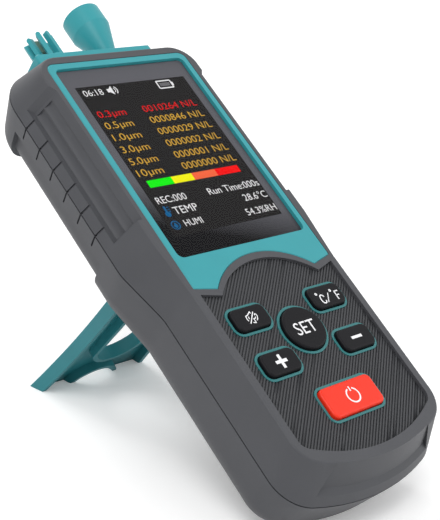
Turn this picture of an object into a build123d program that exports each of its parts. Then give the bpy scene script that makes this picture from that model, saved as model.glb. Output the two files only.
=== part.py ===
"""Handheld airborne particle counter: a two-colour moulded case that stands on its open kickstand.

Every piece is first modelled in the case frame: x to the right, y up the length of the case and z out of
the display face, with the origin at the middle of the display on the face plane.  The last step tips the
whole instrument back by lean_angle, so that it stands on its lower edge and the soles of the kickstand.
"""
import os
from math import cos, radians, sin, tan

from build123d import *

os.makedirs("parts", exist_ok=True)

# ---------------------------------------------------------------- case sizes, millimetres and degrees
lean_angle = 35.0            # display face above the horizontal
case_depth = 31.0            # display face to flat of the back
parting_depth = 12.0         # display face to the line where the two halves meet
parting_gap = 0.4            # joint line between the halves
skin = 2.4                   # soft overmould
wall = 1.8                   # hard shell under the overmould
face_skin = 1.4              # overmould on the display face
face_rise = 0.85             # rim of the overmould above the keys' collars
front_edge_round = 0.7
back_edge_round = 9.0

# outline of the case at three depths: half width of the head, half width of the handle, top, bottom
parting_half_head = 35.6
parting_half_handle = 31.0
parting_top = 46.8
parting_bottom = -115.3
parting_head_corner = 14.0
parting_handle_corner = 12.0
face_head_taper = 5.35       # how far the head draws in from the parting line to the face
face_handle_taper = 2.1
face_half_head = parting_half_head - face_head_taper
face_half_handle = parting_half_handle - face_handle_taper
face_top = 41.4
face_bottom = -109.5
face_head_corner = 8.0
face_handle_corner = 9.5
back_head_taper = 3.6        # how far the head draws in from the parting line to the back
back_handle_taper = 1.4
back_half_head = parting_half_head - back_head_taper
back_half_handle = parting_half_handle - back_handle_taper
back_top = 43.5
back_bottom = -111.8
back_head_corner = 13.0
back_handle_corner = 11.5
shoulder_y = -30.0           # the head starts to narrow
waist_y = -47.0              # the handle starts
end_bow = 6.8                # how far the bottom end bows out at the middle
shoulder_round = 14.0

# ---------------------------------------------------------------- display
window_half_width = 25.1
window_top = 36.2
window_bottom = -36.4
window_corner = 2.0
window_thickness = 0.8
window_sink = 1.05           # glass below the top of its frame
frame_rise = 0.95            # display frame, a little prouder than the rim
frame_half_width = 27.35
frame_top = 38.75
frame_side_bottom = -46.8    # lower corners of the frame
frame_horn_x = 19.4          # where the arch over the keys begins
frame_horn_y = -48.7
frame_arch_y = -40.1         # crown of the arch
frame_corner = 3.0
frame_bevel = 0.6
panel_width = 45.2
panel_height = 62.0
panel_thickness = 2.6

# ---------------------------------------------------------------- keys
pad_side = 26.3              # ribbed pad round the keys
pad_gap = 2.2                # overmould bar between the frame and the pad
pad_bottom = -106.4
pad_bottom_side = -99.3
pad_sink = 0.45              # floor of the pad below the face
rib_rise = 0.4
rib_pitch = 1.7              # measured across the case
rib_share = 0.5
rib_angle = 45.0
key_x = 15.3
upper_key_y = -59.8
lower_key_y = -75.0
set_key_y = -67.4
power_key_y = -91.0
small_key_width = 12.9
small_key_height = 7.4
small_key_corner = 2.2
set_key_diameter = 14.4
power_key_width = 20.6
power_key_height = 9.6
power_key_corner = 1.9
key_clearance = 0.25         # key to its collar
collar_width = 0.75
collar_rise = 0.15           # collar above the ribs
key_rise = 1.3               # key above the origin plane
key_edge_round = 0.7
key_flange = 1.0
key_flange_thickness = 1.0
key_flange_gap = 0.3         # flange below the front wall
key_travel = 0.8

# ---------------------------------------------------------------- side grips
grip_top = 30.5
grip_bottom = -21.4
grip_sink = 1.5
grip_front_edge = 8.6        # depth at which the front panel ends
grip_back_edge = 18.0        # depth at which the back panel starts
grip_shoulder = 2.2          # sloping top end of the front panel
flute_depths = [2.6, 6.0]    # depth of each lengthwise hollow
flute_radius = 2.6
flute_sink = 0.45
groove_count = 6
groove_pitch = 8.3
groove_top_y = 26.0
groove_width = 0.65
groove_sink = 0.65
groove_reach = 4.5           # either side of the parting line

# ---------------------------------------------------------------- bottom end
end_panel_half_front = 18.8  # half width at the face
end_panel_half_back = 22.3   # half width at its ledge
end_panel_sink = 1.1         # deepest at the ledge
end_panel_back = 7.4         # depth at which the ledge begins
end_panel_ledge = 1.4

# ---------------------------------------------------------------- top cap
cap_half_width = 22.6
cap_front = 4.6              # depth of its front edge
cap_back = 26.0
cap_top = 48.5
cap_foot = 38.0              # how far it reaches down into the case
cap_corner = 1.2
cap_chamfer = 0.6
cap_flange = 2.0             # flange inside the case walls
cap_flange_thickness = 1.6
cap_flange_front = 6.0
cap_flange_back = 24.0
cap_fit = 0.2

# ---------------------------------------------------------------- inlet
inlet_x = 14.0
inlet_depth = 15.0
funnel_mouth = 72.0          # height of the mouth
funnel_band = 7.0            # straight band below the mouth
funnel_radius = 6.8
funnel_neck_radius = 3.2
funnel_neck_top = 54.0
funnel_wall = 1.2
spigot_radius = 1.9
spigot_bore = 1.2
spigot_top = 54.0
spigot_bottom = 35.0
spigot_flange_radius = 3.6
spigot_flange_thickness = 1.2
slip_fit = 0.05

# ---------------------------------------------------------------- temperature and humidity sensor
guard_x = -8.8
guard_depth = 15.0
guard_radius = 5.0
guard_base_top = 53.3
guard_top = 63.2
tine_count = 8
tine_width = 1.45
tine_depth = 1.7
tine_inset = 0.1             # inner face of a tine outside the bore
tine_start = 18.0            # angle of the first tine from the front
guard_taper = 0.35
guard_bore = 3.1
guard_floor = 1.0
sensor_width = 4.4
sensor_thickness = 1.6
sensor_bottom = 57.6
sensor_top = 62.6
sensor_leg = 0.5
sensor_leg_spread = 1.5

# ---------------------------------------------------------------- kickstand
pin_y = -24.0
pin_inset = 2.7              # pin axis inside the flat of the back
pin_radius = 1.25
pin_fit = 0.02
pin_running_fit = 0.06
stand_thickness = 4.6
stand_web = 1.6
stand_rim = 1.6
stand_angle = 6.2            # past square to the back when open
stand_foot_half = 21.9
stand_waist_half = 19.2
stand_hinge_half = 21.1
stand_waist_at = 0.56        # share of the length
stand_foot_inner = 8.4
stand_arch = 7.0
slot_half = 8.6
slot_bottom_gap = 15.0       # bottom of the slot to the soles
slot_top_half = 8.6
slot_top_at = 9.0            # top of the slot from the pin
stand_clearance = 0.45       # stand to the recess in the back
recess_depth = 6.0

# ---------------------------------------------------------------- inside
board_half_width = 25.0
board_top = 28.0
board_bottom = -94.5
board_thickness = 1.6
board_depth = 8.0            # face to the front of the board
board_screws = [(21.0, -43.0), (21.0, -90.5)]
mat_thickness = 0.8
dome_gap = 0.1               # dome below a key at the end of its travel
mat_half_width = 18.4
mat_top = -53.0
mat_bottom = -94.0
dome_radius = 3.0
standoff_radius = 2.4
boss_radius = 3.3
case_screws = [(23.0, 34.5), (19.5, -98.5)]
case_screw_seat = 28.0       # depth of the seat under the heads
case_screw_tip = 5.0
case_screw_radius = 1.45
case_screw_head_radius = 2.6
case_screw_head = 1.8
screw_fit = 0.05
board_screw_radius = 1.0
board_screw_head_radius = 1.9
board_screw_head = 1.3
battery_width = 42.0
battery_length = 52.0
battery_thickness = 8.0
battery_y = -62.0
chamber_width = 26.0
chamber_length = 22.0
chamber_front = 11.5         # depth of its front
chamber_top = 29.0
chamber_chamfer = 2.5
nozzle_top = 32.5
laser_radius = 3.0
laser_length = 13.0
detector_size = 7.0
detector_length = 4.0
pump_width = 20.0
pump_length = 26.0
pump_thickness = 12.0
pump_x = -16.0
pump_y = 16.0
filter_radius = 5.0
filter_length = 16.0
tube_radius = 2.4
buzzer_radius = 6.0
buzzer_height = 4.0
buzzer_x = 8.0
buzzer_y = -26.0
vent_count = 5
vent_width = 1.6
vent_length = 18.0
vent_pitch = 3.6
vent_y = 12.0
socket_y = -50.2
socket_width = 9.0
socket_height = 3.2
socket_length = 7.3
seat_gap = 0.3               # how close a loose inner piece lies to its seat

# ---------------------------------------------------------------- outlines of the case
FACE = (face_half_head, face_half_handle, face_top, face_bottom, face_head_corner, face_handle_corner)
PARTING = (
    parting_half_head, parting_half_handle, parting_top, parting_bottom, parting_head_corner, parting_handle_corner,
)
BACK = (back_half_head, back_half_handle, back_top, back_bottom, back_head_corner, back_handle_corner)
rim = -face_rise                                 # depth of the rim


def blend(a, b, t):
    """The outline sizes a share t of the way from a to b."""
    return tuple(p + (q - p) * t for p, q in zip(a, b))


def at_depth(depth):
    """The outline sizes at a depth below the face."""
    if depth <= parting_depth:
        return blend(FACE, PARTING, (depth - rim) / (parting_depth - rim))
    return blend(PARTING, BACK, (depth - parting_depth) / (case_depth - parting_depth))


def outline(sizes, depth, inset=0.0):
    """The closed outline of the case at one depth, moved inwards by inset."""
    head, handle, top, bottom, head_corner, handle_corner = sizes
    head, handle, top, bottom = head - inset, handle - inset, top - inset, bottom + inset
    side_bottom = bottom + end_bow
    with BuildSketch(Plane.XY.offset(-depth)) as sketch:
        with BuildLine():
            Polyline(
                (-handle, side_bottom), (-handle, waist_y), (-head, shoulder_y), (-head, top),
                (head, top), (head, shoulder_y), (handle, waist_y), (handle, side_bottom),
            )
            ThreePointArc((handle, side_bottom), (0, bottom), (-handle, side_bottom))
        make_face()
        corners = sketch.vertices()
        fillet([v for v in corners if v.Y > 0], head_corner - 0.5 * inset)
        fillet([v for v in sketch.vertices() if abs(v.Y - side_bottom) < 0.01], handle_corner - 0.5 * inset)
        bends = [v for v in sketch.vertices() if min(abs(v.Y - waist_y), abs(v.Y - shoulder_y)) < 0.01]
        fillet(bends, shoulder_round)
    return sketch.sketch


def half_case(near, far, inset=0.0):
    """The solid between two depths, moved inwards by inset on the sides."""
    return loft([outline(at_depth(far), far, inset), outline(at_depth(near), near, inset)], ruled=True)


def block(x0, x1, y0, y1, z0, z1):
    """A box between two corners."""
    return Pos((x0 + x1) / 2, (y0 + y1) / 2, (z0 + z1) / 2) * Box(x1 - x0, y1 - y0, z1 - z0)


def rod(x, y, z0, z1, radius):
    """An upright cylinder along z."""
    return Pos(x, y, (z0 + z1) / 2) * Cylinder(radius, abs(z1 - z0))


def both(shape):
    """A shape and its mirror image in the middle plane of the case."""
    return shape + mirror(shape, Plane.YZ)


def rounded(width, height, corner, x, y, z0, z1):
    """A block with rounded upright corners."""
    plate = Pos(x, y, z0) * RectangleRounded(width, height, corner)
    return extrude(plate, z1 - z0)


def barrel(x, depth, y0, y1, radius):
    """A cylinder along the length of the case."""
    return Pos(x, (y0 + y1) / 2, -depth) * Rot(90, 0, 0) * Cylinder(radius, abs(y1 - y0))


def crossbar(x0, x1, y, z, radius):
    """A cylinder across the case."""
    return Pos((x0 + x1) / 2, y, z) * Rot(0, 90, 0) * Cylinder(radius, abs(x1 - x0))


# ---------------------------------------------------------------- levels worked out from the sizes
shell_face = -face_skin                          # front of the hard shell
shell_inside = shell_face - wall                 # back of the front wall
parting_front = parting_depth - parting_gap / 2
parting_back = parting_depth + parting_gap / 2
back_inside_depth = case_depth - skin - wall
frame_face = frame_rise
window_floor = frame_face - window_sink - window_thickness
pad_floor = -pad_sink
rib_top = pad_floor + rib_rise
collar_top = rib_top + collar_rise
flange_top = shell_inside - key_flange_gap
key_bottom = flange_top - key_flange_thickness
board_front = -board_depth
board_back = board_front - board_thickness
pin_z = -(case_depth - pin_inset)
stand_half = stand_thickness / 2

# ---------------------------------------------------------------- outer form of the two halves
front_outer = half_case(rim, parting_front)
front_outer = fillet(front_outer.edges().group_by(Axis.Z)[-1], front_edge_round)
back_outer = half_case(parting_back, case_depth)
back_outer = fillet(back_outer.edges().group_by(Axis.Z)[0], back_edge_round)
front_core = half_case(face_skin, parting_front, skin)
back_core = half_case(parting_back, case_depth - skin, skin)
back_core = fillet(back_core.edges().group_by(Axis.Z)[0], back_edge_round - skin)
front_cavity = half_case(face_skin + wall, parting_front, skin + wall)
back_cavity = half_case(parting_back, back_inside_depth, skin + wall)
back_cavity = fillet(back_cavity.edges().group_by(Axis.Z)[0], back_edge_round - skin - wall)

# floor level: the leaned case stands on the lower edge of its back
lean = Rot(lean_angle, 0, 0)
floor_level = (lean * back_outer).bounding_box().min.Z
pin_height = pin_y * sin(radians(lean_angle)) + pin_z * cos(radians(lean_angle)) - floor_level
stand_reach = pin_height / cos(radians(lean_angle + stand_angle))
sole_slope = stand_half * tan(radians(lean_angle + stand_angle))


# ---------------------------------------------------------------- keys: name, centre, outline
def small_key(x, y, grow, z0, z1):
    """Outline of a small key, larger by grow all round, as a solid between two levels."""
    corner = small_key_corner + grow
    return rounded(small_key_width + 2 * grow, small_key_height + 2 * grow, corner, x, y, z0, z1)


def set_key(x, y, grow, z0, z1):
    """Outline of the round key."""
    return rod(x, y, z0, z1, set_key_diameter / 2 + grow)


def power_key(x, y, grow, z0, z1):
    """Outline of the power key."""
    corner = power_key_corner + grow
    return rounded(power_key_width + 2 * grow, power_key_height + 2 * grow, corner, x, y, z0, z1)


KEYS = {
    "mute_button": (small_key, -key_x, upper_key_y),
    "units_button": (small_key, key_x, upper_key_y),
    "plus_button": (small_key, -key_x, lower_key_y),
    "minus_button": (small_key, key_x, lower_key_y),
    "set_button": (set_key, 0.0, set_key_y),
    "power_button": (power_key, 0.0, power_key_y),
}


def key_columns(grow, z0, z1):
    """All key outlines, larger by grow, as one shape between two levels."""
    columns = [shape(x, y, grow, z0, z1) for shape, x, y in KEYS.values()]
    return columns[0] + columns[1:]


def key(shape, x, y):
    """One key: a cap with a soft edge on a wider flange."""
    cap = shape(x, y, 0, key_bottom, key_rise)
    cap = fillet(cap.edges().group_by(Axis.Z)[-1], key_edge_round)
    return cap + shape(x, y, key_flange, key_bottom, flange_top)


# ---------------------------------------------------------------- display frame and ribbed pad outlines
def arch_outline(side, top, side_bottom, horn_y, crown_y, corner):
    """Face outline of the display frame, with an arched lower edge."""
    with BuildSketch() as sketch:
        with BuildLine():
            Polyline(
                (-frame_horn_x, horn_y), (-side, side_bottom), (-side, top),
                (side, top), (side, side_bottom), (frame_horn_x, horn_y),
            )
            ThreePointArc((frame_horn_x, horn_y), (0, crown_y), (-frame_horn_x, horn_y))
        make_face()
        fillet([v for v in sketch.vertices() if v.Y > 0], corner)
        fillet([v for v in sketch.vertices() if abs(v.X) > side - 0.01 and v.Y < 0], frame_bevel)
    return sketch.sketch


def pad_outline(inset):
    """Outline of the ribbed pad: its top edge follows the arch of the display frame."""
    side = pad_side - inset
    horn_y = frame_horn_y - pad_gap - inset
    crown_y = frame_arch_y - pad_gap - inset
    with BuildSketch() as sketch:
        with BuildLine():
            ThreePointArc((-frame_horn_x, horn_y), (0, crown_y), (frame_horn_x, horn_y))
            Polyline(
                (frame_horn_x, horn_y), (side, frame_side_bottom - pad_gap - inset),
                (side, pad_bottom_side + inset),
            )
            ThreePointArc((side, pad_bottom_side + inset), (0, pad_bottom + inset), (-side, pad_bottom_side + inset))
            Polyline(
                (-side, pad_bottom_side + inset), (-side, frame_side_bottom - pad_gap - inset),
                (-frame_horn_x, horn_y),
            )
        make_face()
        fillet([v for v in sketch.vertices() if v.Y < pad_bottom_side + inset + 0.01], 3.5)
    return sketch.sketch


frame_plan = arch_outline(frame_half_width, frame_top, frame_side_bottom, frame_horn_y, frame_arch_y, frame_corner)
window_height = window_top - window_bottom
window_y = (window_top + window_bottom) / 2


def window_block(grow, z0, z1):
    """The display window, larger by grow."""
    width = 2 * window_half_width + 2 * grow
    return rounded(width, window_height + 2 * grow, window_corner + grow, 0, window_y, z0, z1)


# ---------------------------------------------------------------- cuts shared by several pieces
def cap_body(grow, low, high):
    """The top cap as a rounded column along the case, larger by grow."""
    width = 2 * (cap_half_width + grow)
    depth = cap_back - cap_front + 2 * grow
    plan = Plane.XZ * Pos(0, -(cap_front + cap_back) / 2, 0) * RectangleRounded(width, depth, cap_corner + grow)
    return Pos(0, low, 0) * extrude(plan, -(high - low))


cap_cut = cap_body(cap_fit, cap_foot - 1, cap_top + 5)
recess_half = stand_foot_half + stand_clearance
recess_end = pin_y - stand_reach - sole_slope - stand_clearance
recess_top = pin_y + stand_half + stand_clearance
recess_floor = -(case_depth - recess_depth)
pin_half = recess_half + 2.8


def recess(grow):
    """The pocket in the back that takes the folded stand, larger by grow."""
    return block(
        -recess_half - grow, recess_half + grow, recess_end - grow, recess_top + grow,
        -case_depth - 5, recess_floor + grow,
    )


def side_band(near, far, low, high):
    """A band on both sides of the case, between two depths and two heights."""
    reach = parting_half_head + 5
    return both(block(reach / 2, reach, low, high, -far, -near))


def half_head_at(depth, inset=0.0):
    """Half width of the head at a depth."""
    return at_depth(depth)[0] - inset


grip_front_cut = side_band(rim - 1, grip_front_edge, grip_bottom, grip_top) - half_case(rim, parting_front, grip_sink)
slope_a = Vector(half_head_at(0), grip_top, 0)
slope_b = Vector(half_head_at(parting_depth), grip_top, -parting_depth)
slope_c = Vector(half_head_at(0, grip_sink), grip_top - grip_shoulder, 0)
shoulder_plane = Plane(slope_a, x_dir=slope_b - slope_a, z_dir=(slope_b - slope_a).cross(slope_c - slope_a))
shoulder_side = 1 if shoulder_plane.z_dir.Y > 0 else -1
shoulder_block = shoulder_plane * (Pos(0, 0, shoulder_side * 10) * Box(60, 60, 20))
grip_front_cut -= both(shoulder_block)
flutes = []
for depth in flute_depths:
    flute_x = half_head_at(depth, grip_sink) + flute_radius - flute_sink
    flutes.append(both(barrel(flute_x, depth, grip_bottom + 1.0, grip_top - grip_shoulder - 1.0, flute_radius)))
grip_back_core = half_case(parting_back, case_depth - grip_sink, grip_sink)
grip_back_core = fillet(grip_back_core.edges().group_by(Axis.Z)[0], back_edge_round - grip_sink)
grip_back_cut = side_band(grip_back_edge, case_depth + 1, grip_bottom, grip_top) - grip_back_core
groove_front_core = half_case(rim, parting_front, groove_sink)
groove_back_core = half_case(parting_back, case_depth, groove_sink)


def grooves(near, far, core):
    """The short cross grooves on both sides of the parting line."""
    cuts = []
    for i in range(groove_count):
        y = groove_top_y - i * groove_pitch
        cuts.append(side_band(near, far, y - groove_width / 2, y + groove_width / 2) - core)
    return cuts


def socket_cut(grow):
    """The charging socket, larger by grow, out through the side of the case."""
    return block(
        board_half_width - socket_length, parting_half_head + 5,
        socket_y - socket_width / 2 - grow, socket_y + socket_width / 2 + grow,
        board_front - grow, board_front + socket_height + grow,
    )


ledge_depth = end_panel_back + end_panel_ledge
panel_low = outline(at_depth(end_panel_back), end_panel_back, end_panel_sink)
panel_core = loft([panel_low, outline(FACE, rim, 0.2)], ruled=True)
panel_core += loft([outline(at_depth(ledge_depth), ledge_depth, -0.05), panel_low], ruled=True)
panel_slope = (end_panel_half_back - end_panel_half_front) / end_panel_back
with BuildSketch(Plane.XZ) as panel_sketch:
    with BuildLine():
        Polyline(
            (-end_panel_half_front + panel_slope, 2.0), (end_panel_half_front - panel_slope, 2.0),
            (end_panel_half_front + panel_slope * ledge_depth, -ledge_depth),
            (-end_panel_half_front - panel_slope * ledge_depth, -ledge_depth), close=True,
        )
    make_face()
end_panel_cut = Pos(0, face_bottom + end_bow, 0) * extrude(panel_sketch.sketch, 20) - panel_core

# ---------------------------------------------------------------- front half
front_overmould = front_outer - front_core
front_overmould -= extrude(Pos(0, 0, -face_skin - 1) * frame_plan, frame_rise + face_skin + 2)
front_overmould -= extrude(Pos(0, 0, -face_skin - 1) * pad_outline(0), face_skin + 3)
front_overmould -= [cap_cut, grip_front_cut, end_panel_cut, socket_cut(0.9)]
front_overmould -= flutes
front_overmould -= grooves(parting_depth - groove_reach, parting_depth, groove_front_core)

frame_block = extrude(Pos(0, 0, shell_inside + wall / 2) * frame_plan, frame_face - shell_inside - wall / 2)
frame_block = chamfer(frame_block.edges().group_by(Axis.Z)[-1], frame_bevel * 0.6)
front_housing = front_core - front_cavity + frame_block
front_housing += key_columns(key_clearance + collar_width, shell_face - wall / 2, collar_top)
front_housing -= window_block(0.1, window_floor, frame_face + 1)
front_housing -= block(
    -panel_width / 2 - 0.2, panel_width / 2 + 0.2, -panel_height / 2 - 0.2, panel_height / 2 + 0.2,
    shell_inside - 1, window_floor + 1,
)
front_housing -= key_columns(key_clearance, shell_inside - 1, collar_top + 1)
for boss_x, boss_y in case_screws:
    front_housing += both(rod(boss_x, boss_y, -parting_front, shell_inside + 0.5, boss_radius))
for boss_x, boss_y in board_screws:
    front_housing += both(rod(boss_x, boss_y, board_front, shell_inside + 0.5, standoff_radius))
for boss_x, boss_y in case_screws:
    bore = case_screw_radius + screw_fit
    front_housing -= both(rod(boss_x, boss_y, -parting_front - 1, -case_screw_tip + 0.5, bore))
for boss_x, boss_y in board_screws:
    front_housing -= both(rod(boss_x, boss_y, board_front - 1, shell_inside, board_screw_radius + screw_fit))
front_housing -= [cap_cut, socket_cut(0.2)]

pad_base = extrude(Pos(0, 0, shell_face) * pad_outline(0.05), pad_floor - shell_face)
rib_width = rib_pitch * rib_share * sin(radians(rib_angle))
rib_span = pad_side + abs(pad_bottom - frame_arch_y)
rib_count = int(2 * rib_span / rib_pitch) + 1
pad_middle = (frame_arch_y + pad_bottom) / 2
rib_plan = Sketch() + [
    Pos((i - rib_count / 2) * rib_pitch, pad_middle) * Rot(0, 0, rib_angle) * Rectangle(3 * rib_span, rib_width)
    for i in range(rib_count)
]
rib_plan = rib_plan & pad_outline(0.6)
keypad_pad = pad_base + extrude(Pos(0, 0, pad_floor - 0.1) * rib_plan, rib_rise + 0.1)
keypad_pad -= key_columns(key_clearance + collar_width + 0.05, shell_face - 1, rib_top + 1)

display_window = window_block(0, window_floor, window_floor + window_thickness)
lcd_top = window_floor - 0.1
lcd_panel = block(
    -panel_width / 2, panel_width / 2, -panel_height / 2, panel_height / 2, lcd_top - panel_thickness, lcd_top,
)

# ---------------------------------------------------------------- rear half
back_overmould = back_outer - back_core
back_overmould -= [cap_cut, grip_back_cut, recess(0)]
back_overmould -= grooves(parting_depth, parting_depth + groove_reach, groove_back_core)
vents = [
    block(
        -vent_length / 2, vent_length / 2,
        vent_y + (i - (vent_count - 1) / 2) * vent_pitch - vent_width / 2,
        vent_y + (i - (vent_count - 1) / 2) * vent_pitch + vent_width / 2,
        -case_depth - 1, -back_inside_depth + 1,
    )
    for i in range(vent_count)
]
head_holes = []
for boss_x, boss_y in case_screws:
    head_holes.append(both(rod(boss_x, boss_y, -case_depth - 1, -case_screw_seat, case_screw_head_radius + 0.2)))
back_overmould -= vents
back_overmould -= crossbar(-pin_half, pin_half, pin_y, pin_z, pin_radius + 4 * pin_running_fit)
back_overmould -= head_holes

rear_housing = back_core - (back_cavity - recess(wall))
for boss_x, boss_y in case_screws:
    rear_housing += both(rod(boss_x, boss_y, -back_inside_depth - 0.5, -parting_back, boss_radius)) & back_core
pin_boss = crossbar(recess_half, recess_half + 3.6, pin_y, pin_z, 3.2)
rear_housing += both(pin_boss) & back_core
rear_housing -= recess(0)
rear_housing -= crossbar(-pin_half, pin_half, pin_y, pin_z, pin_radius + pin_fit)
for boss_x, boss_y in case_screws:
    rear_housing -= both(rod(boss_x, boss_y, -case_depth, -parting_back + 1, case_screw_radius + 2 * screw_fit))
rear_housing -= vents
rear_housing -= head_holes
rear_housing -= cap_cut

seal_outer = outline(PARTING, parting_front + 0.02, groove_sink + 0.05)
seal_inner = outline(PARTING, parting_front + 0.02, skin + wall - 0.4)
case_seal = extrude(seal_outer - seal_inner, -(parting_gap - 0.04))
case_seal -= cap_cut

# ---------------------------------------------------------------- top cap, inlet and sensor guard
top_cap = cap_body(0, cap_foot, cap_top)
top_cap = chamfer(top_cap.edges().group_by(Axis.Y)[-1], cap_chamfer)
top_cap += block(
    -cap_half_width - cap_flange, cap_half_width + cap_flange, cap_foot, cap_foot + cap_flange_thickness,
    -cap_flange_back, -cap_flange_front,
)
top_cap -= barrel(inlet_x, inlet_depth, cap_foot - 1, cap_top + 1, spigot_radius + slip_fit)
for side in (-1, 1):
    leg_x = guard_x + side * sensor_leg_spread
    top_cap -= barrel(leg_x, guard_depth, cap_foot - 1, cap_top + 1, sensor_leg + slip_fit)


def turned(points, x, depth):
    """A turned piece about an axis along the case: points are (radius, height)."""
    profile = make_face(Polyline([(r, y) for r, y in points], close=True))
    return Pos(x, 0, -depth) * revolve(profile, Axis.Y)


flange_up = cap_top + spigot_flange_thickness
inlet_spigot = turned(
    [
        (spigot_bore, spigot_bottom), (spigot_radius, spigot_bottom), (spigot_radius, cap_top),
        (spigot_flange_radius, cap_top), (spigot_flange_radius, flange_up), (spigot_radius, flange_up),
        (spigot_radius, spigot_top), (spigot_bore, spigot_top),
    ],
    inlet_x, inlet_depth,
)
band_bottom = funnel_mouth - funnel_band
socket_radius = spigot_radius + slip_fit
inlet_funnel = turned(
    [
        (socket_radius, flange_up), (funnel_neck_radius, flange_up), (funnel_neck_radius, funnel_neck_top),
        (funnel_radius, band_bottom), (funnel_radius, funnel_mouth), (funnel_radius - funnel_wall, funnel_mouth),
        (funnel_radius - funnel_wall, band_bottom + 0.5), (socket_radius, funnel_neck_top + 0.8),
    ],
    inlet_x, inlet_depth,
)

sensor_guard = turned(
    [
        (0, cap_top), (guard_radius + guard_taper, cap_top), (guard_radius, guard_base_top),
        (guard_bore, guard_base_top), (guard_bore, cap_top + guard_floor), (0, cap_top + guard_floor),
    ],
    guard_x, guard_depth,
)
tine_height = guard_top - guard_base_top
for i in range(tine_count):
    tine_plan = SlotOverall(2 * tine_height + 2, tine_width, rotation=90)
    tine = extrude(Pos(0, guard_base_top - 1, guard_bore + tine_inset) * tine_plan, tine_depth)
    tine &= block(-5, 5, guard_base_top - 1, guard_top, 0, guard_radius + 1)
    sensor_guard += Pos(guard_x, 0, -guard_depth) * Rot(0, tine_start + i * 360 / tine_count, 0) * tine
humidity_sensor = block(
    guard_x - sensor_width / 2, guard_x + sensor_width / 2, sensor_bottom, sensor_top,
    -guard_depth - sensor_thickness / 2, -guard_depth + sensor_thickness / 2,
)
for side in (-1, 1):
    leg_x = guard_x + side * sensor_leg_spread
    humidity_sensor += barrel(leg_x, guard_depth, cap_foot, sensor_bottom + 1, sensor_leg)
    sensor_guard -= barrel(leg_x, guard_depth, cap_top - 1, cap_top + guard_floor + 1, sensor_leg + slip_fit)

# ---------------------------------------------------------------- kickstand, drawn folded and then opened
leg_end = pin_y - stand_reach - sole_slope
stand_run = pin_y - leg_end
waist_at = pin_y - stand_waist_at * stand_run
with BuildSketch() as stand_sketch:
    with BuildLine():
        Polyline((-stand_foot_half, leg_end), (stand_foot_half, leg_end))
        ThreePointArc((stand_foot_half, leg_end), (stand_waist_half, waist_at), (stand_hinge_half, pin_y))
        Polyline(
            (stand_hinge_half, pin_y), (stand_hinge_half, pin_y + stand_half),
            (-stand_hinge_half, pin_y + stand_half), (-stand_hinge_half, pin_y),
        )
        ThreePointArc((-stand_hinge_half, pin_y), (-stand_waist_half, waist_at), (-stand_foot_half, leg_end))
    make_face()
slot_low = leg_end + sole_slope + slot_bottom_gap
slot_turn = slot_low + 0.7 * slot_half
with BuildSketch() as slot_sketch:
    with BuildLine():
        Polyline(
            (slot_half, slot_turn), (slot_top_half, pin_y - slot_top_at),
            (-slot_top_half, pin_y - slot_top_at), (-slot_half, slot_turn),
        )
        ThreePointArc((-slot_half, slot_turn), (0, slot_low), (slot_half, slot_turn))
    make_face()
    fillet(slot_sketch.vertices(), 1.2)
sole_line = leg_end + sole_slope
with BuildSketch() as arch_sketch:
    with BuildLine():
        Polyline(
            (stand_foot_inner, sole_line + 1.0), (stand_foot_inner, leg_end - 5),
            (-stand_foot_inner, leg_end - 5), (-stand_foot_inner, sole_line + 1.0),
        )
        ThreePointArc(
            (-stand_foot_inner, sole_line + 1.0), (0, sole_line + stand_arch), (stand_foot_inner, sole_line + 1.0)
        )
    make_face()
stand_plan = stand_sketch.sketch - slot_sketch.sketch - arch_sketch.sketch
stand_out = pin_z - stand_half                   # face that shows when folded
pocket_plan = offset(stand_plan, -stand_rim)
kickstand = extrude(Pos(0, 0, stand_out) * stand_plan, stand_thickness)
pocket = extrude(Pos(0, 0, stand_out + stand_web) * pocket_plan, stand_thickness)
pocket &= block(-50, 50, leg_end - 10, pin_y - stand_half - stand_rim, pin_z - 10, pin_z + 10)
kickstand -= pocket
knuckle_cut = block(-50, 50, pin_y, pin_y + 5, pin_z - 5, pin_z + 5)
kickstand -= knuckle_cut - crossbar(-60, 60, pin_y, pin_z, stand_half)
kickstand -= crossbar(-50, 50, pin_y, pin_z, pin_radius + pin_running_fit)
opening = Pos(0, pin_y, pin_z) * Rot(90 + stand_angle, 0, 0) * Pos(0, -pin_y, -pin_z)
kickstand = opening * kickstand
kickstand_pin = crossbar(-pin_half + 0.1, pin_half - 0.1, pin_y, pin_z, pin_radius)

# ---------------------------------------------------------------- electronics and air path
board = block(-board_half_width, board_half_width, board_bottom, board_top, board_back, board_front)
for boss_x, boss_y in board_screws:
    board -= both(rod(boss_x, boss_y, board_back - 1, board_front + 1, board_screw_radius + 0.2))
dome_top = key_bottom - key_travel - dome_gap
key_mat = block(-mat_half_width, mat_half_width, mat_bottom, mat_top, board_front, board_front + mat_thickness)
for shape, x, y in KEYS.values():
    key_mat += rod(x, y, board_front, dome_top, dome_radius)
charging_socket = block(
    board_half_width - socket_length + 2.5, board_half_width + 2.5,
    socket_y - socket_width / 2, socket_y + socket_width / 2, board_front, board_front + socket_height,
)
charging_socket -= block(
    board_half_width - 3.5, board_half_width + 3.0, socket_y - socket_width / 2 + 0.6,
    socket_y + socket_width / 2 - 0.6, board_front + 0.6, board_front + socket_height - 0.6,
)
buzzer = rod(buzzer_x, buzzer_y, board_back - buzzer_height, board_back, buzzer_radius)
buzzer -= rod(buzzer_x, buzzer_y, board_back - buzzer_height - 1, board_back - buzzer_height + 1, 1.2)
battery_back = recess_floor + wall + seat_gap
battery = rounded(battery_width, battery_length, 2.0, 0, battery_y, battery_back, battery_back + battery_thickness)

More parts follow.
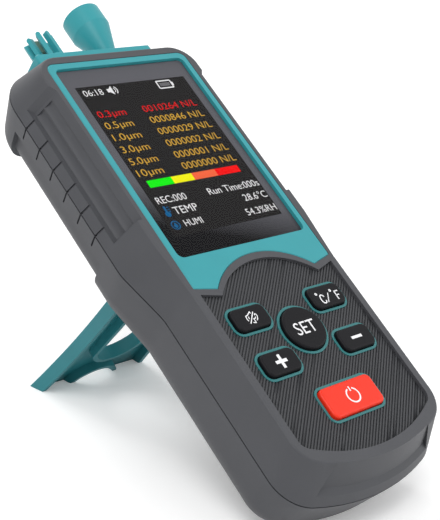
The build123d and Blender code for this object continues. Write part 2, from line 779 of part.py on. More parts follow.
inner_back = -back_inside_depth + seat_gap
chamber_bottom = chamber_top - chamber_length
chamber_left = inlet_x - chamber_width / 2
optical_chamber = block(
    chamber_left, chamber_left + chamber_width, chamber_bottom, chamber_top, inner_back, -chamber_front,
)
optical_chamber = chamfer(optical_chamber.edges().group_by(Axis.Z)[0], chamber_chamfer)
optical_chamber += barrel(inlet_x, inlet_depth, chamber_top - 1, nozzle_top, spigot_radius)
optical_chamber -= barrel(inlet_x, inlet_depth, chamber_bottom + 6, nozzle_top + 1, spigot_bore)
laser_x = chamber_left + chamber_width - laser_radius - 2
laser_depth = (chamber_front - inner_back) / 2
laser_module = barrel(laser_x, laser_depth, chamber_bottom - laser_length, chamber_bottom, laser_radius)
photodetector = block(
    chamber_left - detector_length, chamber_left, chamber_top - 4 - detector_size, chamber_top - 4,
    inner_back + 2, inner_back + 2 + detector_size,
)
pump_right = pump_x + pump_width / 2
pump_bottom = pump_y - pump_length / 2
suction_pump = rounded(
    pump_width, pump_length, 3.0, pump_x, pump_y, inner_back, inner_back + pump_thickness,
)
transfer_tube = crossbar(pump_right, chamber_left, chamber_bottom + 3.5, inner_back + 5, tube_radius)
transfer_tube -= crossbar(pump_right - 1, chamber_left + 1, chamber_bottom + 3.5, inner_back + 5, spigot_bore)
inlet_hose = barrel(inlet_x, inlet_depth, chamber_top + 0.5, spigot_bottom + 2, spigot_radius + 1.1)
inlet_hose -= barrel(inlet_x, inlet_depth, chamber_top, spigot_bottom + 3, spigot_radius + 0.02)
filter_depth = -inner_back - filter_radius
exhaust_filter = barrel(pump_x, filter_depth, pump_bottom - filter_length, pump_bottom, filter_radius)


def screw(x, y, seat, tip, radius, head_radius, head):
    """A cheese-head screw along z: its head lies under the seat."""
    shank = rod(x, y, seat, tip, radius)
    top = rod(x, y, seat - head, seat, head_radius)
    slot = block(x - head_radius, x + head_radius, y - 0.35, y + 0.35, seat - head - 1, seat - head + 0.6)
    return shank + top - slot


case_screw_set = [
    screw(side * x, y, -case_screw_seat, -case_screw_tip, case_screw_radius, case_screw_head_radius, case_screw_head)
    for x, y in case_screws for side in (-1, 1)
]
board_screw_set = [
    screw(side * x, y, board_back, shell_inside - 0.8, board_screw_radius, board_screw_head_radius, board_screw_head)
    for x, y in board_screws for side in (-1, 1)
]

# ---------------------------------------------------------------- hand out the pieces
PIECES = {
    "front_housing": front_housing,
    "front_overmould": front_overmould,
    "rear_housing": rear_housing,
    "rear_overmould": back_overmould,
    "case_seal": case_seal,
    "top_cap": top_cap,
    "keypad_pad": keypad_pad,
    "display_window": display_window,
    "lcd_panel": lcd_panel,
    "main_board": board,
    "key_mat": key_mat,
    "kickstand": kickstand,
    "kickstand_pin": kickstand_pin,
    "inlet_funnel": inlet_funnel,
    "inlet_spigot": inlet_spigot,
    "inlet_hose": inlet_hose,
    "sensor_guard": sensor_guard,
    "humidity_sensor": humidity_sensor,
    "optical_chamber": optical_chamber,
    "laser_module": laser_module,
    "photodetector": photodetector,
    "suction_pump": suction_pump,
    "transfer_tube": transfer_tube,
    "exhaust_filter": exhaust_filter,
    "battery": battery,
    "buzzer": buzzer,
    "charging_socket": charging_socket,
}
for name, (shape, x, y) in KEYS.items():
    PIECES[name] = key(shape, x, y)
front_most = min((lean * piece).bounding_box().min.Y for piece in (front_outer, back_outer))
rear_most = (lean * inlet_funnel).bounding_box().max.Y
middle = (front_most + rear_most) / 2
place = Pos(0, -middle, -floor_level) * lean
for name, piece in PIECES.items():
    standing = place * piece
    if name == "kickstand":
        floor = Pos(0, 0, -50) * Box(400, 400, 100)
        standing -= floor
    export_step(standing, f"parts/{name}.step")
for name, pieces in (("case_screws", case_screw_set), ("board_screws", board_screw_set)):
    export_step(Compound([place * p for p in pieces]), f"parts/{name}.step")
print("middle", round(middle, 4), "floor", round(floor_level, 4), "stand reach", round(stand_reach, 3))
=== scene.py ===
"""Looks for the handheld airborne particle counter: finishes, ribbed pad, display picture, legends and light."""
import math

import bmesh
import bpy
from mathutils import Matrix, Vector


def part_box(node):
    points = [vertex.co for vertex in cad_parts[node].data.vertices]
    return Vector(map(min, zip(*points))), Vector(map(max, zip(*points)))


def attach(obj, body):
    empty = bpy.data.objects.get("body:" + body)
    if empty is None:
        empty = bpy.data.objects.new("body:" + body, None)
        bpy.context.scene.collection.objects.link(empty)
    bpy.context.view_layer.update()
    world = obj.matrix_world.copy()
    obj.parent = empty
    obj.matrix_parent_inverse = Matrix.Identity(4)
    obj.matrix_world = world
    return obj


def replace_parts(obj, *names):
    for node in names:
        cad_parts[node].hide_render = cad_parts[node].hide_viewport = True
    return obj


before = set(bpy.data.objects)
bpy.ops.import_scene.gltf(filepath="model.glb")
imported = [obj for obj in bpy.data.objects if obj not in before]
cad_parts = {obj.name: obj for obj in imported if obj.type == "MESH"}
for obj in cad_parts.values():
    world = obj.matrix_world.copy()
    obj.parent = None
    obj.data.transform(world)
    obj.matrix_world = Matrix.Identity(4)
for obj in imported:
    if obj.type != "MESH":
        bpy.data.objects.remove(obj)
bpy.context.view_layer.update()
MM = 0.001
LEAN = math.radians(35.0)      # display face above the horizontal

# ---------------------------------------------------------------- case frame to world
# The case frame has its origin in the display face, X to the right, Y towards the funnel and Z out of the face.
WINDOW_MIDDLE = Vector((0.0, -0.1, -0.5)) * MM
low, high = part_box("display_window")
TURN = Matrix.Rotation(LEAN, 4, "X")
MIDDLE = (Vector(low) + Vector(high)) / 2
SHIFT = MIDDLE - TURN @ WINDOW_MIDDLE
PLACE = Matrix.Translation(SHIFT) @ TURN       # case frame, in metres, to the world
FROM_MM = PLACE @ Matrix.Scale(MM, 4)          # case frame, in millimetres, to the world

# heights in the case frame, in millimetres
Z_BACK = -0.17                 # ground of the display picture
Z_TEXT = -0.15                 # its marks
Z_MASK = -0.13                 # print inside the glass
Z_INK = 1.32                   # key legends

# ---------------------------------------------------------------- camera, solved from the photograph
LENS = 89.33
CAMERA_AT = Vector((-0.25213, -0.27832, 0.09436))          # from the origin of the case frame
CAMERA_TRIM = Vector((0.0, 0.0, -0.3)) * MM                # in the case frame
CAMERA_RIGHT = Vector((0.72788, -0.68296, 0.06127))
CAMERA_UP = Vector((0.17797, 0.27445, 0.94499))
camera_data = bpy.data.cameras.new("camera")
camera_data.sensor_width = 36.0
camera_data.lens = LENS
camera_data.clip_start = 0.01
camera = bpy.data.objects.new("camera", camera_data)
bpy.context.collection.objects.link(camera)
back = CAMERA_RIGHT.cross(CAMERA_UP)
spot = SHIFT + CAMERA_AT + TURN @ CAMERA_TRIM
rows = zip(CAMERA_RIGHT, CAMERA_UP, back, spot)
camera.matrix_world = Matrix((*rows, (0, 0, 0, 1)))
bpy.context.scene.camera = camera
bpy.context.scene.view_settings.view_transform = "Standard"


# ---------------------------------------------------------------- materials
def linear(rgb):
    """Eight-bit display colour to linear."""
    out = []
    for v in rgb:
        v = v / 255.0
        out.append(v / 12.92 if v <= 0.04045 else ((v + 0.055) / 1.055) ** 2.4)
    return out


def moulded(name, rgb, rough=0.5, grain=0.25, bump=0.08, vary=0.06, sheen=0.0, coat=0.0, spec=0.31):
    """A moulded surface: fine grain in the relief, gentle variation in colour and gloss."""
    m = bpy.data.materials.new(name)
    m.use_nodes = True
    t = m.node_tree
    p = t.nodes["Principled BSDF"]
    c = linear(rgb)
    p.inputs["Roughness"].default_value = rough
    p.inputs["Specular IOR Level"].default_value = spec
    p.inputs["Sheen Weight"].default_value = sheen
    p.inputs["Coat Weight"].default_value = coat
    p.inputs["Coat Roughness"].default_value = 0.25
    where = t.nodes.new("ShaderNodeTexCoord")
    cloud = t.nodes.new("ShaderNodeTexNoise")
    cloud.inputs["Scale"].default_value = 90.0
    cloud.inputs["Detail"].default_value = 4.0
    t.links.new(where.outputs["Object"], cloud.inputs["Vector"])
    ramp = t.nodes.new("ShaderNodeValToRGB")
    ramp.color_ramp.elements[0].position = 0.3
    ramp.color_ramp.elements[1].position = 0.7
    ramp.color_ramp.elements[0].color = [v * (1 - vary) for v in c] + [1]
    ramp.color_ramp.elements[1].color = [min(1, v * (1 + vary)) for v in c] + [1]
    t.links.new(cloud.outputs["Fac"], ramp.inputs["Fac"])
    t.links.new(ramp.outputs["Color"], p.inputs["Base Color"])
    fine = t.nodes.new("ShaderNodeTexNoise")
    fine.inputs["Scale"].default_value = 1000.0 / grain
    fine.inputs["Detail"].default_value = 2.0
    t.links.new(where.outputs["Object"], fine.inputs["Vector"])
    gloss = t.nodes.new("ShaderNodeMapRange")
    gloss.inputs["To Min"].default_value = max(0.0, rough - 0.07)
    gloss.inputs["To Max"].default_value = min(1.0, rough + 0.07)
    t.links.new(fine.outputs["Fac"], gloss.inputs["Value"])
    t.links.new(gloss.outputs["Result"], p.inputs["Roughness"])
    relief = t.nodes.new("ShaderNodeBump")
    relief.inputs["Strength"].default_value = bump
    relief.inputs["Distance"].default_value = 0.0002
    t.links.new(fine.outputs["Fac"], relief.inputs["Height"])
    t.links.new(relief.outputs["Normal"], p.inputs["Normal"])
    return m


def tinted(material, rgb, way, start, end):
    """Blend a material's colour to rgb between two distances, in millimetres, along a way of the case frame."""
    t = material.node_tree
    p = t.nodes["Principled BSDF"]
    old = p.inputs["Base Color"].links[0].from_socket
    where = t.nodes.new("ShaderNodeTexCoord")
    along = t.nodes.new("ShaderNodeVectorMath")
    along.operation = "DOT_PRODUCT"
    world_way = TURN.to_3x3() @ Vector(way).normalized()
    along.inputs[1].default_value = world_way
    t.links.new(where.outputs["Object"], along.inputs[0])
    share = t.nodes.new("ShaderNodeMapRange")
    zero = SHIFT.dot(world_way)
    share.inputs["From Min"].default_value = zero + start * MM
    share.inputs["From Max"].default_value = zero + end * MM
    t.links.new(along.outputs["Value"], share.inputs["Value"])
    mix = t.nodes.new("ShaderNodeMix")
    mix.data_type = "RGBA"
    t.links.new(share.outputs["Result"], mix.inputs["Factor"])
    t.links.new(old, mix.inputs[6])
    mix.inputs[7].default_value = linear(rgb) + [1]
    t.links.new(mix.outputs[2], p.inputs["Base Color"])
    return material


def lit(name, rgb):
    """A lit part of the display picture."""
    m = bpy.data.materials.new(name)
    m.use_nodes = True
    t = m.node_tree
    p = t.nodes["Principled BSDF"]
    c = linear(rgb)
    p.inputs["Roughness"].default_value = 0.6
    p.inputs["Specular IOR Level"].default_value = 0.0
    p.inputs["Base Color"].default_value = (0.004, 0.004, 0.004, 1)
    p.inputs["Emission Color"].default_value = (*c, 1)
    p.inputs["Emission Strength"].default_value = 1.0
    where = t.nodes.new("ShaderNodeTexCoord")
    cells = t.nodes.new("ShaderNodeTexNoise")
    cells.inputs["Scale"].default_value = 5000.0
    t.links.new(where.outputs["Object"], cells.inputs["Vector"])
    level = t.nodes.new("ShaderNodeMapRange")
    level.inputs["To Min"].default_value = 0.92
    level.inputs["To Max"].default_value = 1.08
    t.links.new(cells.outputs["Fac"], level.inputs["Value"])
    t.links.new(level.outputs["Result"], p.inputs["Emission Strength"])
    return m


def metal(name, rgb, rough):
    """Turned or ground metal with faint lay marks."""
    m = moulded(name, rgb, rough=rough, grain=0.4, bump=0.05, vary=0.03)
    m.node_tree.nodes["Principled BSDF"].inputs["Metallic"].default_value = 1.0
    return m


TEAL = moulded("teal_plastic", (52, 153, 161), rough=0.42, grain=0.3, bump=0.05, vary=0.03, coat=0.08)
SHELL = tinted(
    moulded("teal_shell", (54, 152, 160), rough=0.42, grain=0.3, bump=0.05, vary=0.03, coat=0.08),
    (52, 120, 122), (0, -1, 0), 49.0, 51.5,
)
# The stand is the same teal plastic as the case; its darker colour is painted shade.
LEG_PAINTED_SHADE = moulded("teal_stand_painted_shade", (42, 124, 132), rough=0.5, grain=0.3, bump=0.05, vary=0.03)
GREY = moulded("grey_overmould", (73, 74, 78), rough=0.55, grain=0.28, bump=0.12, vary=0.04, sheen=0.05)
PAD = moulded("pad_plastic", (63, 64, 67), rough=0.5, grain=0.25, bump=0.06, vary=0.05)
KEY = moulded("key_black", (14, 14, 18), rough=0.5, grain=0.3, bump=0.05, vary=0.06, spec=0.155)
RED = moulded("key_red", (238, 46, 16), rough=0.36, grain=0.3, bump=0.03, vary=0.02)
BLACK = moulded("seal_black", (5, 5, 6), rough=0.7, spec=0.1)
INK = moulded("legend_white", (240, 240, 242), rough=0.5, vary=0.01, bump=0.02)
BOARD = moulded("solder_mask", (20, 92, 52), rough=0.35, grain=0.6, bump=0.1)
SILICONE = moulded("silicone", (190, 192, 192), rough=0.45)
SLEEVE = moulded("cell_sleeve", (40, 80, 170), rough=0.3, coat=0.2)
ANODISED = metal("black_anodised", (52, 53, 56), 0.4)
STEEL = metal("steel", (176, 178, 182), 0.28)
BRASS = metal("brass", (202, 164, 92), 0.3)
SENSOR = moulded("sensor_cap", (96, 128, 114), rough=0.6, grain=0.5, bump=0.25)
DARK = moulded("dark_plastic", (34, 35, 38), rough=0.45)
WHITE = moulded("filter_white", (224, 226, 226), rough=0.5)

GLASS = bpy.data.materials.new("cover_glass")
GLASS.use_nodes = True
gp = GLASS.node_tree.nodes["Principled BSDF"]
gp.inputs["Base Color"].default_value = (0.01, 0.01, 0.012, 1)
gp.inputs["Roughness"].default_value = 0.05
gp.inputs["Alpha"].default_value = 0.12
gp.inputs["IOR"].default_value = 1.5
smear = GLASS.node_tree.nodes.new("ShaderNodeTexNoise")
smear.inputs["Scale"].default_value = 60.0
spread = GLASS.node_tree.nodes.new("ShaderNodeMapRange")
spread.inputs["To Min"].default_value = 0.03
spread.inputs["To Max"].default_value = 0.09
GLASS.node_tree.links.new(smear.outputs["Fac"], spread.inputs["Value"])
GLASS.node_tree.links.new(spread.outputs["Result"], gp.inputs["Roughness"])

FINISH = {
    "front_housing": SHELL, "top_cap": TEAL, "kickstand": LEG_PAINTED_SHADE, "inlet_funnel": TEAL, "sensor_guard": TEAL,
    "rear_housing": DARK, "front_overmould": GREY, "rear_overmould": GREY, "case_seal": BLACK, "keypad_pad": PAD,
    "display_window": GLASS, "lcd_panel": DARK, "main_board": BOARD, "key_mat": SILICONE,
    "mute_button": KEY, "units_button": KEY, "plus_button": KEY, "minus_button": KEY, "set_button": KEY,
    "power_button": RED, "kickstand_pin": STEEL, "inlet_spigot": STEEL, "inlet_hose": SILICONE,
    "humidity_sensor": SENSOR, "optical_chamber": ANODISED, "laser_module": BRASS, "photodetector": DARK,
    "suction_pump": DARK, "transfer_tube": SILICONE, "exhaust_filter": WHITE, "battery": SLEEVE,
    "buzzer": DARK, "charging_socket": STEEL, "case_screws": STEEL, "board_screws": STEEL,
}
for node, material in FINISH.items():
    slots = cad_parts[node].material_slots
    if not slots:
        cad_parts[node].data.materials.append(material)
    for s in slots:
        s.material = material


# ---------------------------------------------------------------- pieces drawn in the case frame, in millimetres
def finish_mesh(name, bm, material, body):
    """Turn a bmesh drawn in the case frame, in millimetres, into a piece."""
    mesh = bpy.data.meshes.new(name)
    bmesh.ops.recalc_face_normals(bm, faces=bm.faces)
    bm.to_mesh(mesh)
    bm.free()
    mesh.transform(FROM_MM)
    mesh.materials.append(material)
    o = bpy.data.objects.new(name, mesh)
    bpy.context.collection.objects.link(o)
    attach(o, body)
    return o


def text_mesh(text):
    """A text as a mesh at size 1, with its left, right, lower and upper ends."""
    curve = bpy.data.curves.new("text", "FONT")
    curve.body = text
    curve.resolution_u = 4
    o = bpy.data.objects.new("text", curve)
    bpy.context.collection.objects.link(o)
    bpy.context.view_layer.update()
    mesh = bpy.data.meshes.new_from_object(o)
    bpy.data.objects.remove(o)
    xs = [v.co.x for v in mesh.vertices]
    ys = [v.co.y for v in mesh.vertices]
    return mesh, min(xs), max(xs), min(ys), max(ys)


ZERO, _, _, ZERO_FOOT, ZERO_HEAD = text_mesh("0")
DIGIT = ZERO_HEAD - ZERO_FOOT
bpy.data.meshes.remove(ZERO)


def write(bm, text, x0, x1, base, height, z):
    """Add a text that runs from x0 to x1 on a base line, its digits height high."""
    mesh, left, far, _, _ = text_mesh(text)
    sx = (x1 - x0) / (far - left)
    sy = height / DIGIT
    mesh.transform(Matrix.Translation((x0 - left * sx, base, z)) @ Matrix.Diagonal((sx, sy, 1, 1)))
    bm.from_mesh(mesh)
    bpy.data.meshes.remove(mesh)


def poly(bm, points, z):
    """Add a flat face."""
    bm.faces.new([bm.verts.new((x, y, z)) for x, y in points])


def ring(bm, x, y, inner, outer, z, start=0.0, end=360.0, steps=40):
    """Add a flat ring or part of one."""
    rows = []
    full = abs(end - start) >= 360
    count = steps if full else steps + 1
    for i in range(count):
        a = math.radians(start + (end - start) * i / steps)
        rows.append([bm.verts.new((x + r * math.cos(a), y + r * math.sin(a), z)) for r in (inner, outer)])
    for i in range(steps):
        a, b = rows[i], rows[(i + 1) % count]
        bm.faces.new((a[0], b[0], b[1], a[1]))


def stroke(bm, points, width, z):
    """Add a flat line of even width through the points."""
    points = [Vector(p) for p in points]
    closed = points[0] == points[-1]
    pairs = []
    for i, p in enumerate(points):
        ahead = points[1] if closed and i == len(points) - 1 else points[min(i + 1, len(points) - 1)]
        behind = points[-2] if closed and i == 0 else points[max(i - 1, 0)]
        a = (p - behind).normalized() if (p - behind).length > 0 else (ahead - p).normalized()
        b = (ahead - p).normalized() if (ahead - p).length > 0 else a
        side = Vector((-(a + b).y, (a + b).x)).normalized()
        half = width / 2 / max(0.5, side.dot(Vector((-a.y, a.x))))
        pairs.append([bm.verts.new((*(p + k * half * side), z)) for k in (-1, 1)])
    for (a, b), (c, d) in zip(pairs, pairs[1:]):
        bm.faces.new((a, b, d, c))


def bar(bm, x0, x1, y0, y1, z):
    """Add a flat rectangle."""
    poly(bm, [(x0, y0), (x1, y0), (x1, y1), (x0, y1)], z)


# ---------------------------------------------------------------- ribbed pad, at the line spacing in the photograph
# Each rib in the photograph shows two lines, so its ribs are about twice RIB_PITCH apart.
PAD_FLOOR = -0.45
RIB_RISE = 0.4
RIB_PITCH = 1.255              # across the case: spacing of the lines, not of the real ribs
RIB_SHARE = 0.52               # of the pitch
RIB_ANGLE = math.radians(45.0)
ACROSS = Vector((-math.sin(RIB_ANGLE), math.cos(RIB_ANGLE), 0))
WELD = 1e-3
CUT_WELD = 1e-5


def slice_flat(bm, distance):
    """Cut a flat mesh along the line at a distance across the ribs."""
    geometry = list(bm.verts) + list(bm.edges) + list(bm.faces)
    bmesh.ops.bisect_plane(bm, geom=geometry, dist=CUT_WELD, plane_co=ACROSS * distance, plane_no=ACROSS)


def ribbed_pad():
    """The pad of the CAD node with its ribs taken down and ribs at RIB_PITCH set on its floor."""
    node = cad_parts["keypad_pad"]
    base = bmesh.new()
    base.from_mesh(node.data)
    base.transform(FROM_MM.inverted() @ node.matrix_world)
    for v in base.verts:
        v.co.z = min(v.co.z, PAD_FLOOR)
    bmesh.ops.remove_doubles(base, verts=base.verts, dist=WELD)
    ribs = base.copy()
    others = [f for f in ribs.faces if any(abs(v.co.z - PAD_FLOOR) >= WELD for v in f.verts)]
    bmesh.ops.delete(ribs, geom=others, context="FACES")
    step = RIB_PITCH * math.sin(RIB_ANGLE)
    reaches = [v.co.dot(ACROSS) for v in ribs.verts]
    first, last = math.floor(min(reaches) / step), math.ceil(max(reaches) / step)
    for i in range(first, last + 1):
        slice_flat(ribs, i * step)
        slice_flat(ribs, (i + RIB_SHARE) * step)
    hollow = [f for f in ribs.faces if (f.calc_center_median().dot(ACROSS) / step) % 1.0 > RIB_SHARE]
    bmesh.ops.delete(ribs, geom=hollow, context="FACES")
    bmesh.ops.dissolve_limit(
        ribs, angle_limit=0.01, use_dissolve_boundaries=False, verts=ribs.verts, edges=ribs.edges,
    )
    for part in bmesh.ops.extrude_face_region(ribs, geom=ribs.faces)["geom"]:
        if isinstance(part, bmesh.types.BMVert):
            part.co.z += RIB_RISE
    together = bpy.data.meshes.new("ribs")
    ribs.to_mesh(together)
    ribs.free()
    base.from_mesh(together)
    bpy.data.meshes.remove(together)
    return finish_mesh("ribbed_pad", base, PAD, "case")


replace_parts(ribbed_pad(), "keypad_pad")

# ---------------------------------------------------------------- display picture, under the glass
bm = bmesh.new()
bar(bm, -21.3, 21.9, -28.9, 29.4, Z_BACK)
finish_mesh("display_ground", bm, lit("screen_ground", (36, 35, 35)), "case")

bm = bmesh.new()
write(bm, "06:18", -19.5, -12.2, 25.6, 2.4, Z_TEXT)
write(bm, "REC:000", -19.3, -8.1, -16.9, 2.5, Z_TEXT)
write(bm, "Run Time:000s", 0.6, 21.3, -17.1, 2.5, Z_TEXT)
write(bm, "TEMP", -15.7, -6.7, -21.4, 2.7, Z_TEXT)
write(bm, "28.6°C", 11.8, 21.3, -21.7, 2.5, Z_TEXT)
write(bm, "HUMI", -14.9, -8.1, -26.0, 2.3, Z_TEXT)
write(bm, "54.3%RH", 9.1, 21.4, -26.9, 2.5, Z_TEXT)
poly(bm, [(-10.4, 26.2), (-9.5, 26.2), (-8.3, 25.1), (-8.3, 28.7), (-9.5, 27.6), (-10.4, 27.6)], Z_TEXT)
ring(bm, -8.4, 26.9, 0.9, 1.2, Z_TEXT, -50, 50, 10)
ring(bm, -8.4, 26.9, 1.6, 1.95, Z_TEXT, -50, 50, 12)
BATTERY = [
    (9.9, 25.4), (15.1, 25.4), (15.3, 25.6), (15.3, 28.2), (15.1, 28.4), (9.9, 28.4), (9.7, 28.2), (9.7, 25.6),
    (9.9, 25.4),
]
stroke(bm, BATTERY, 0.5, Z_TEXT)
bar(bm, 15.5, 16.0, 26.2, 27.6, Z_TEXT)
finish_mesh("display_white", bm, lit("screen_white", (244, 244, 246)), "case")

bm = bmesh.new()
bar(bm, 10.5, 14.5, 26.2, 27.6, Z_TEXT)
finish_mesh("display_charge", bm, lit("screen_charge", (112, 112, 114)), "case")

ROWS = [
    ("0.3µm", "0010264 N/L", 18.2), ("0.5µm", "0000846 N/L", 13.65), ("1.0µm", "0000029 N/L", 8.95),
    ("3.0µm", "0000002 N/L", 4.15), ("5.0µm", "0000001 N/L", -0.6), ("10µm", "0000000 N/L", -5.1),
]
for name, rgb, rows in (("red", (226, 20, 24), ROWS[:1]), ("amber", (214, 168, 58), ROWS[1:])):
    bm = bmesh.new()
    for label, value, y in rows:
        write(bm, label, -19.5, -9.0 if len(label) == 5 else -9.8, y - 1.3, 2.6, Z_TEXT)
        write(bm, value, -2.2, 19.4, y - 1.3, 2.6, Z_TEXT)
    finish_mesh("display_" + name, bm, lit("screen_" + name, rgb), "case")

# colour scale
for name, rgb, x0, x1 in (
    ("green", (10, 250, 12), -18.2, -8.9), ("yellow", (255, 252, 14), -8.9, -0.9),
    ("orange", (255, 108, 66), -0.9, 8.4), ("crimson", (254, 6, 6), 8.4, 17.9),
):
    bm = bmesh.new()
    bar(bm, x0, x1, -10.85, -8.2, Z_TEXT)
    finish_mesh("display_bar_" + name, bm, lit("screen_bar_" + name, rgb), "case")

# thermometer and drop
bm = bmesh.new()
ring(bm, -18.2, -20.8, 0.0, 1.0, Z_TEXT, steps=20)
bar(bm, -18.6, -17.8, -20.4, -17.9, Z_TEXT)
for y in (-18.4, -19.2, -20.0):
    bar(bm, -17.4, -16.7, y - 0.15, y + 0.15, Z_TEXT)
ring(bm, -18.2, -24.9, 1.25, 1.6, Z_TEXT, steps=28)
ring(bm, -18.2, -25.2, 0.0, 0.7, Z_TEXT, steps=20)
poly(bm, [(-18.8, -24.9), (-17.6, -24.9), (-18.2, -23.8)], Z_TEXT)
finish_mesh("display_blue", bm, lit("screen_blue", (18, 98, 150)), "case")

# black print round the picture; its lighter end stands for the reflection in the photograph
bm = bmesh.new()
for x0, x1, y0, y1 in (
    (-25.0, 25.0, 29.3, 36.1), (-25.0, 25.0, -36.3, -28.8), (-25.0, -21.2, -28.8, 29.3),
    (21.8, 25.0, -28.8, 29.3),
):
    bar(bm, x0, x1, y0, y1, Z_MASK)
# Painted reflection: the black print is blended to grey towards one end.
PRINT_AND_PAINTED_REFLECTION = tinted(
    moulded("window_print_painted_reflection", (7, 7, 10), rough=0.3, bump=0.0, vary=0.02, spec=0.065),
    (97, 97, 103), (0.374, 0.927, 0), -31.0, -16.0,
)
finish_mesh("window_print_painted_reflection", bm, PRINT_AND_PAINTED_REFLECTION, "case")

# ---------------------------------------------------------------- key legends
KEY_AT = {
    "mute": (-15.3, -59.8), "units": (15.3, -59.8), "plus": (-15.3, -75.0), "minus": (15.3, -75.0),
    "set": (0.0, -67.4), "power": (0.0, -91.0),
}


def legend(key, draw):
    """Draw a white legend on a key, about the middle of the key."""
    b = bmesh.new()
    draw(b, *KEY_AT[key])
    finish_mesh(key + "_legend", b, INK, key + "_button")


def draw_mute(b, x, y):
    for points in (
        [(0.45, 1.0), (0.35, 1.6), (-0.9, 0.8), (-1.75, 0.6), (-1.9, -0.2), (-1.8, -1.1)],
        [(-1.0, 0.3), (-1.1, -0.5)], [(1.5, 1.4), (-1.65, -2.0)],
        [(1.25, 0.2), (1.7, 0.6), (2.0, 0.4), (2.05, -0.2), (1.7, -0.9), (1.15, -1.5)],
        [(1.3, -0.3), (1.0, -0.7), (0.3, -0.8), (0.4, -1.6), (0.3, -2.1), (-0.6, -1.8)],
    ):
        stroke(b, [(x + p, y + q) for p, q in points], 0.32, Z_INK)


def draw_units(b, x, y):
    for points, width in (
        ([(-1.45, -0.35), (-1.75, 0.25), (-2.3, 0.5), (-2.85, 0.25), (-3.15, -0.6), (-3.1, -1.6), (-2.75, -2.25),
          (-2.25, -2.4), (-1.75, -2.15), (-1.5, -1.5)], 0.4),
        ([(0.75, 0.6), (-1.05, -2.4)], 0.3), ([(3.35, -2.4), (3.35, 0.65)], 0.42),
        ([(3.2, 0.5), (4.85, 0.5)], 0.4), ([(3.4, -0.85), (4.6, -0.85)], 0.38),
    ):
        stroke(b, [(x + p, y + q) for p, q in points], width, Z_INK)
    for away in (-3.85, 2.1):
        ring(b, x + away, y + 1.1, 0.12, 0.46, Z_INK, steps=20)


legend("mute", draw_mute)
legend("units", draw_units)
legend("set", lambda b, x, y: write(b, "SET", x - 3.9, x + 4.1, y - 2.1, 4.1, Z_INK))


def draw_plus(b, x, y):
    stroke(b, [(x - 2.1, y), (x + 2.1, y)], 1.0, Z_INK)
    stroke(b, [(x, y - 2.2), (x, y + 2.2)], 1.0, Z_INK + 0.004)


def draw_power(b, x, y):
    ring(b, x + 0.3, y, 2.0, 2.48, Z_INK, 112, 428, 44)
    stroke(b, [(x + 0.3, y + 1.3), (x + 0.3, y + 2.8)], 0.45, Z_INK)


legend("plus", draw_plus)
legend("minus", lambda b, x, y: bar(b, x - 2.1, x + 2.2, y - 0.45, y + 0.45, Z_INK))
legend("power", draw_power)

# ---------------------------------------------------------------- floor, backdrop and light
FLOOR_HALF = 4.0               # metres
FLOOR_SHADE = 0.93
GLOW_NEAR, GLOW_FAR = 0.2, 0.42        # the floor's own light in direct sight, near the object and far from it
NEAR, FAR = 0.4, 1.6                   # metres
WORLD_LIGHT, WORLD_SEEN = 0.62, 1.0


def direct_sight(tree):
    """One where the camera, a gloss or a clear material sees the background, zero for its diffuse light."""
    path = tree.nodes.new("ShaderNodeLightPath")
    total = path.outputs["Is Camera Ray"]
    for name in ("Is Glossy Ray", "Is Transmission Ray"):
        larger = tree.nodes.new("ShaderNodeMath")
        larger.operation = "MAXIMUM"
        tree.links.new(total, larger.inputs[0])
        tree.links.new(path.outputs[name], larger.inputs[1])
        total = larger.outputs[0]
    return total


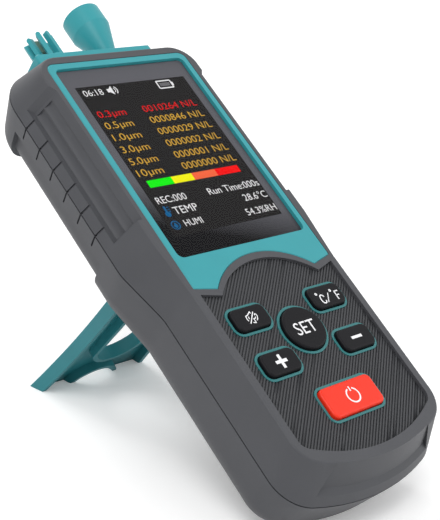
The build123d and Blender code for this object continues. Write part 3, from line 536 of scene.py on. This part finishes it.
floor_mesh = bpy.data.meshes.new("floor")
bm = bmesh.new()
bmesh.ops.create_grid(bm, x_segments=1, y_segments=1, size=FLOOR_HALF)
bm.to_mesh(floor_mesh)
bm.free()
floor = bpy.data.objects.new("floor", floor_mesh)
bpy.context.collection.objects.link(floor)
pale = bpy.data.materials.new("pale_floor")
pale.use_nodes = True
t = pale.node_tree
shade = t.nodes["Principled BSDF"]
shade.inputs["Base Color"].default_value = (FLOOR_SHADE, FLOOR_SHADE, FLOOR_SHADE, 1)
shade.inputs["Roughness"].default_value = 0.9
shade.inputs["Specular IOR Level"].default_value = 0.1
place = t.nodes.new("ShaderNodeTexCoord")
reach = t.nodes.new("ShaderNodeVectorMath")
reach.operation = "LENGTH"
t.links.new(place.outputs["Object"], reach.inputs[0])
glow = t.nodes.new("ShaderNodeMapRange")
glow.inputs["From Min"].default_value = NEAR
glow.inputs["From Max"].default_value = FAR
glow.inputs["To Min"].default_value = GLOW_NEAR
glow.inputs["To Max"].default_value = GLOW_FAR
t.links.new(reach.outputs["Value"], glow.inputs["Value"])
lift = t.nodes.new("ShaderNodeMath")
lift.operation = "MULTIPLY"
t.links.new(glow.outputs["Result"], lift.inputs[1])
t.links.new(direct_sight(t), lift.inputs[0])
shade.inputs["Emission Color"].default_value = (1, 1, 1, 1)
t.links.new(lift.outputs[0], shade.inputs["Emission Strength"])
floor.data.materials.append(pale)

world = bpy.data.worlds.new("world")
bpy.context.scene.world = world
world.use_nodes = True
wt = world.node_tree
ground = wt.nodes["Background"]
ground.inputs["Color"].default_value = (1, 1, 1, 1)
ground.inputs["Strength"].default_value = WORLD_LIGHT
bright = wt.nodes.new("ShaderNodeBackground")
bright.inputs["Color"].default_value = (1, 1, 1, 1)
bright.inputs["Strength"].default_value = WORLD_SEEN
mix = wt.nodes.new("ShaderNodeMixShader")
wt.links.new(direct_sight(wt), mix.inputs[0])
wt.links.new(ground.outputs[0], mix.inputs[1])
wt.links.new(bright.outputs[0], mix.inputs[2])
wt.links.new(mix.outputs[0], wt.nodes["World Output"].inputs["Surface"])


def lamp(name, place, target, size, power):
    """A soft square lamp aimed at a point."""
    data = bpy.data.lights.new(name, "AREA")
    data.shape = "SQUARE"
    data.size = size
    data.energy = power
    o = bpy.data.objects.new(name, data)
    o.location = place
    o.rotation_euler = (Vector(target) - Vector(place)).to_track_quat("-Z", "Y").to_euler()
    bpy.context.collection.objects.link(o)


lamp("key_lamp", (-0.5, -0.35, 0.95), (0, 0, 0.05), 0.6, 5.0)
lamp("fill_lamp", (0.8, -0.7, 0.6), (0, 0, 0.05), 0.8, 3.0)
lamp("back_lamp", (0.1, 0.9, 0.9), (0, 0, 0.06), 0.6, 4.0)
